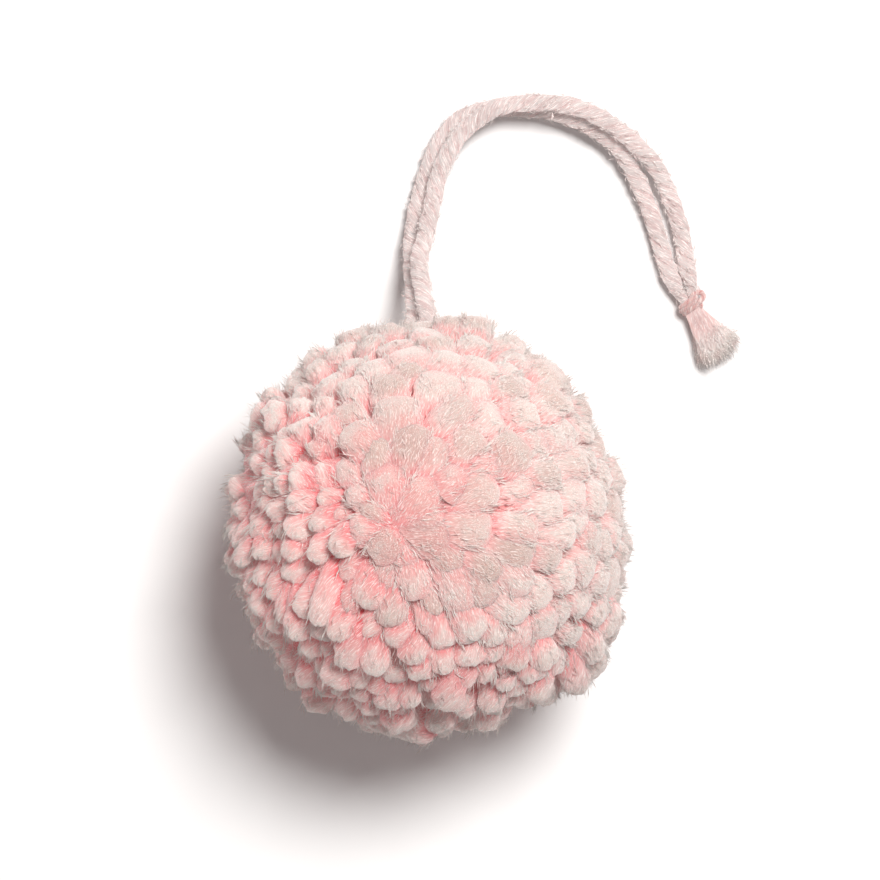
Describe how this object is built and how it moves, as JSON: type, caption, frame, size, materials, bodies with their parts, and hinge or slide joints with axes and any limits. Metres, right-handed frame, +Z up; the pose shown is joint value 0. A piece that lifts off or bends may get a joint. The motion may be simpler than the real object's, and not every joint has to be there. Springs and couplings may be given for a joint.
{
  "type": "yarn pompom with a doubled hanging cord",
  "caption": "Soft pink yarn pompom, lying on a table, with a doubled twisted cord that curls over to a bound and frayed end.",
  "frame": {"origin": "on the table, under the middle of the pompom's box; the cord and its end are left out of that box", "axes": "+Z up from the table, +Y the way the cord leaves the pompom, +X the side that the cord bends over to"},
  "size_m": [0.0813, 0.101, 0.0611],
  "materials": {
    "pompom_yarn": "brushed fluffy yarn, pale pink with greyish white tips and deeper salmon roots",
    "cord_yarn": "twisted three-ply yarn cord, pale beige pink",
    "binding_yarn": "thin matt yarn, warm pink"
  },
  "bodies": {
    "root": {"pompom": "pompom_yarn", "cord_inner": "cord_yarn", "cord_outer": "cord_yarn", "binding_knot": "binding_yarn", "frayed_end": "cord_yarn"}
  },
  "joints": []
}
